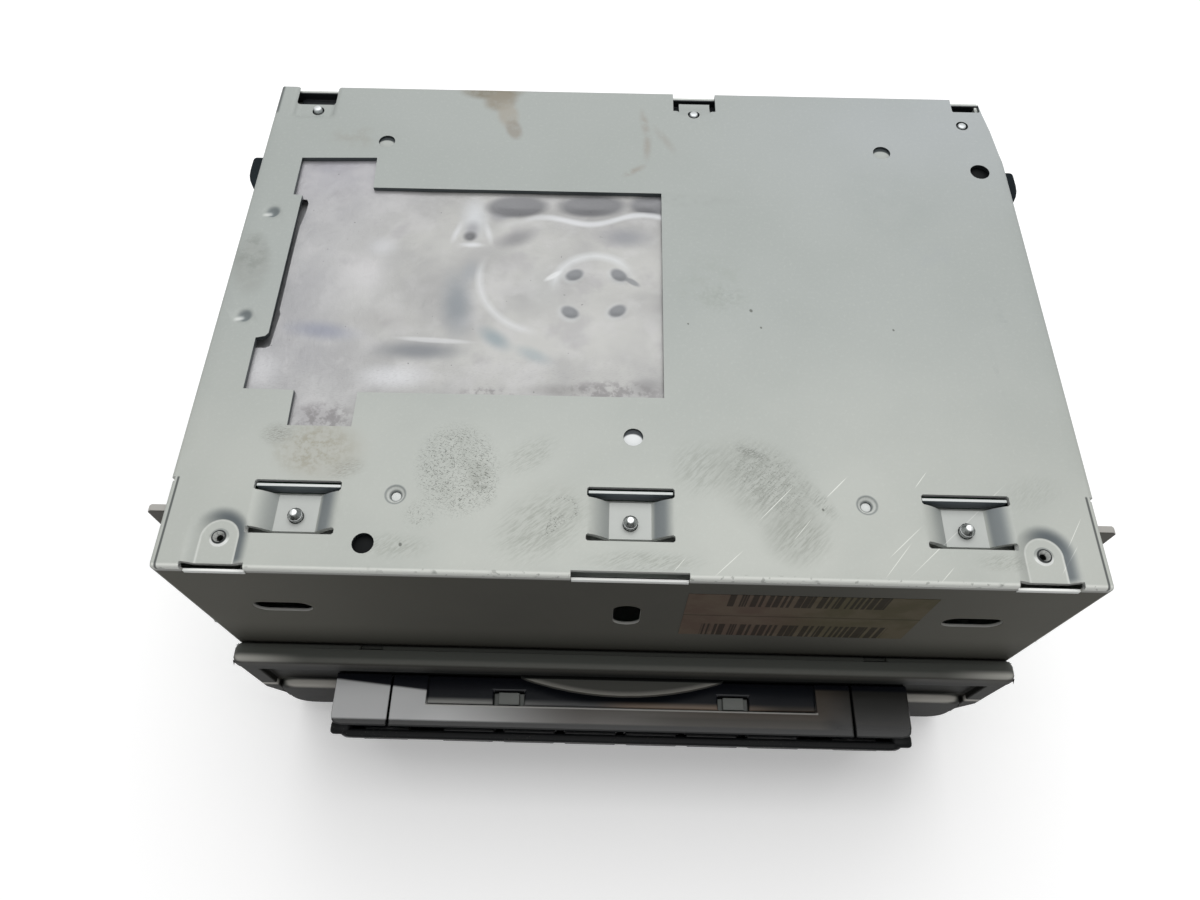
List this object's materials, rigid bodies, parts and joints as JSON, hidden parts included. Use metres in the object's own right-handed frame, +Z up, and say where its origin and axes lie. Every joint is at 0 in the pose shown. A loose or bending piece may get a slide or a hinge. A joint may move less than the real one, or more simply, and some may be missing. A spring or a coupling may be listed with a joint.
{
  "type": "car navigation radio",
  "caption": "Two-slot-high car navigation radio with a disc slot, key bar and display, lying on its top cover with its bottom cover up.",
  "frame": {"origin": "under the middle of the whole radio, on the surface that it lies on", "axes": "+Z up out of the bottom cover, -Y out of the fascia, +X to the right in the picture's view"},
  "size_m": [0.192, 0.1628, 0.1],
  "materials": {
    "galvanised_steel": "satin galvanised",
    "inner_steel": "satin zinc",
    "shield_foil": "bright",
    "screw_metal": "bright zinc",
    "bumper_rubber": "matt",
    "fascia_plastic": "fine grain",
    "gloss_plastic": "polished",
    "clip_plastic": "matt",
    "key_plastic": "fine grain",
    "display_glass": "polished",
    "display_module": "matt",
    "board": "lacquered",
    "motor_can": "satin",
    "cast_metal": "cast",
    "rod_steel": "ground",
    "lens_plastic": "polished",
    "gear_plastic": "natural",
    "black_plastic": "matt",
    "socket_plastic": "matt",
    "socket_metal": "nickel"
  },
  "bodies": {
    "case": {"bottom_cover": "galvanised_steel", "top_cover": "galvanised_steel", "front_plate": "galvanised_steel", "left_side_wall": "galvanised_steel", "right_side_wall": "galvanised_steel", "rear_plate": "galvanised_steel", "left_ear": "galvanised_steel", "right_ear": "galvanised_steel", "front_stay": "inner_steel", "mechanism_deck": "inner_steel", "left_deck_bracket": "inner_steel", "right_deck_bracket": "inner_steel", "shield_plate": "shield_foil", "tuner_box": "shield_foil", "left_bridge_screw": "screw_metal", "middle_bridge_screw": "screw_metal", "right_bridge_screw": "screw_metal", "left_bumper": "bumper_rubber", "right_bumper": "bumper_rubber", "fascia_frame": "fascia_plastic", "bar_housing": "fascia_plastic", "bar_bezel": "fascia_plastic", "disc_guide": "fascia_plastic", "bar_face": "gloss_plastic", "bar_clips": "clip_plastic", "display_lens": "display_glass", "display_panel": "display_module", "key_board": "board", "main_board": "board", "map_board": "board", "spindle_motor": "motor_can", "sled_motor": "motor_can", "loading_motor": "motor_can", "heat_sink": "cast_metal", "front_rod": "rod_steel", "rear_rod": "rod_steel", "fan_frame": "black_plastic", "sound_amp": "black_plastic", "power_socket": "socket_plastic", "aerial_sockets": "socket_metal"},
    "slot_shutter": {"slot_shutter": "fascia_plastic"},
    "turntable": {"turntable": "black_plastic"},
    "clamp_arm": {"clamp_arm": "inner_steel"},
    "clamp_puck": {"clamp_puck": "gear_plastic"},
    "pickup_sled": {"pickup_sled": "cast_metal", "pickup_lens": "lens_plastic"},
    "lead_screw": {"lead_screw": "rod_steel"},
    "loading_roller": {"loading_roller": "bumper_rubber", "roller_gear": "gear_plastic"},
    "idler_gear": {"idler_gear": "gear_plastic"},
    "motor_pinion": {"motor_pinion": "gear_plastic"},
    "fan_rotor": {"fan_rotor": "black_plastic"},
    "eject_key": {"eject_key": "key_plastic"},
    "map_key": {"map_key": "key_plastic"},
    "menu_key": {"menu_key": "key_plastic"},
    "audio_key": {"audio_key": "key_plastic"},
    "tune_down_key": {"tune_down_key": "key_plastic"},
    "tune_up_key": {"tune_up_key": "key_plastic"},
    "volume_rocker": {"volume_rocker": "key_plastic"},
    "track_rocker": {"track_rocker": "key_plastic"}
  },
  "joints": [
    {"name": "eject_key_press", "type": "slide", "parent": "case", "child": "eject_key", "axis": [0, 1, 0], "range_m": [0, 0.0006], "stiffness_N_per_m": 1500, "springref_m": -0.0003},
    {"name": "map_key_press", "type": "slide", "parent": "case", "child": "map_key", "axis": [0, 1, 0], "range_m": [0, 0.0006], "stiffness_N_per_m": 1500, "springref_m": -0.0003},
    {"name": "menu_key_press", "type": "slide", "parent": "case", "child": "menu_key", "axis": [0, 1, 0], "range_m": [0, 0.0006], "stiffness_N_per_m": 1500, "springref_m": -0.0003},
    {"name": "audio_key_press", "type": "slide", "parent": "case", "child": "audio_key", "axis": [0, 1, 0], "range_m": [0, 0.0006], "stiffness_N_per_m": 1500, "springref_m": -0.0003},
    {"name": "tune_down_key_press", "type": "slide", "parent": "case", "child": "tune_down_key", "axis": [0, 1, 0], "range_m": [0, 0.0006], "stiffness_N_per_m": 1500, "springref_m": -0.0003},
    {"name": "tune_up_key_press", "type": "slide", "parent": "case", "child": "tune_up_key", "axis": [0, 1, 0], "range_m": [0, 0.0006], "stiffness_N_per_m": 1500, "springref_m": -0.0003},
    {"name": "volume_rocker_rock", "type": "hinge", "parent": "case", "child": "volume_rocker", "pos_m": [-0.0564, -0.07638, 0.0238], "axis": [1, 0, 0], "range_deg": [-2, 2], "stiffness_Nm_per_rad": 0.2},
    {"name": "track_rocker_rock", "type": "hinge", "parent": "case", "child": "track_rocker", "pos_m": [0.0564, -0.07638, 0.0238], "axis": [1, 0, 0], "range_deg": [-2, 2], "stiffness_Nm_per_rad": 0.2},
    {"name": "shutter_swing", "type": "hinge", "parent": "case", "child": "slot_shutter", "pos_m": [0, -0.0608, 0.0438], "axis": [1, 0, 0], "range_deg": [0, 65], "stiffness_Nm_per_rad": 0.004, "springref_deg": -17.19},
    {"name": "turntable_spin", "type": "hinge", "parent": "case", "child": "turntable", "pos_m": [0, 0.0028, 0.04], "axis": [0, 0, 1], "continuous": true},
    {"name": "clamp_lift", "type": "hinge", "parent": "case", "child": "clamp_arm", "pos_m": [0, 0.0598, 0.0346], "axis": [1, 0, 0], "range_deg": [0, 4], "stiffness_Nm_per_rad": 0.3, "springref_deg": -17.19},
    {"name": "puck_spin", "type": "hinge", "parent": "clamp_arm", "child": "clamp_puck", "pos_m": [0, 0.0028, 0.04], "axis": [0, 0, 1], "continuous": true},
    {"name": "sled_slide", "type": "slide", "parent": "case", "child": "pickup_sled", "axis": [-1, 0, 0], "range_m": [0, 0.034]},
    {"name": "screw_turn", "type": "hinge", "parent": "case", "child": "lead_screw", "pos_m": [-0.04, 0.0304, 0.0464], "axis": [1, 0, 0], "range_deg": [-10, 1880]},
    {"name": "roller_turn", "type": "hinge", "parent": "case", "child": "loading_roller", "pos_m": [0, -0.0512, 0.0444], "axis": [1, 0, 0], "continuous": true},
    {"name": "idler_turn", "type": "hinge", "parent": "case", "child": "idler_gear", "pos_m": [0.07, -0.03836, 0.0529], "axis": [1, 0, 0], "continuous": true},
    {"name": "pinion_turn", "type": "hinge", "parent": "case", "child": "motor_pinion", "pos_m": [0.07, -0.02907, 0.062], "axis": [1, 0, 0], "continuous": true},
    {"name": "fan_spin", "type": "hinge", "parent": "case", "child": "fan_rotor", "pos_m": [0.064, 0.0659, 0.072], "axis": [0, 1, 0], "continuous": true}
  ],
  "couplings": [
    {"joint": "puck_spin", "follows": "turntable_spin", "ratio": 1},
    {"joint": "screw_turn", "follows": "sled_slide", "rad_per_m": 958.45},
    {"joint": "idler_turn", "follows": "roller_turn", "ratio": -0.72727},
    {"joint": "pinion_turn", "follows": "roller_turn", "ratio": 1.6}
  ]
}
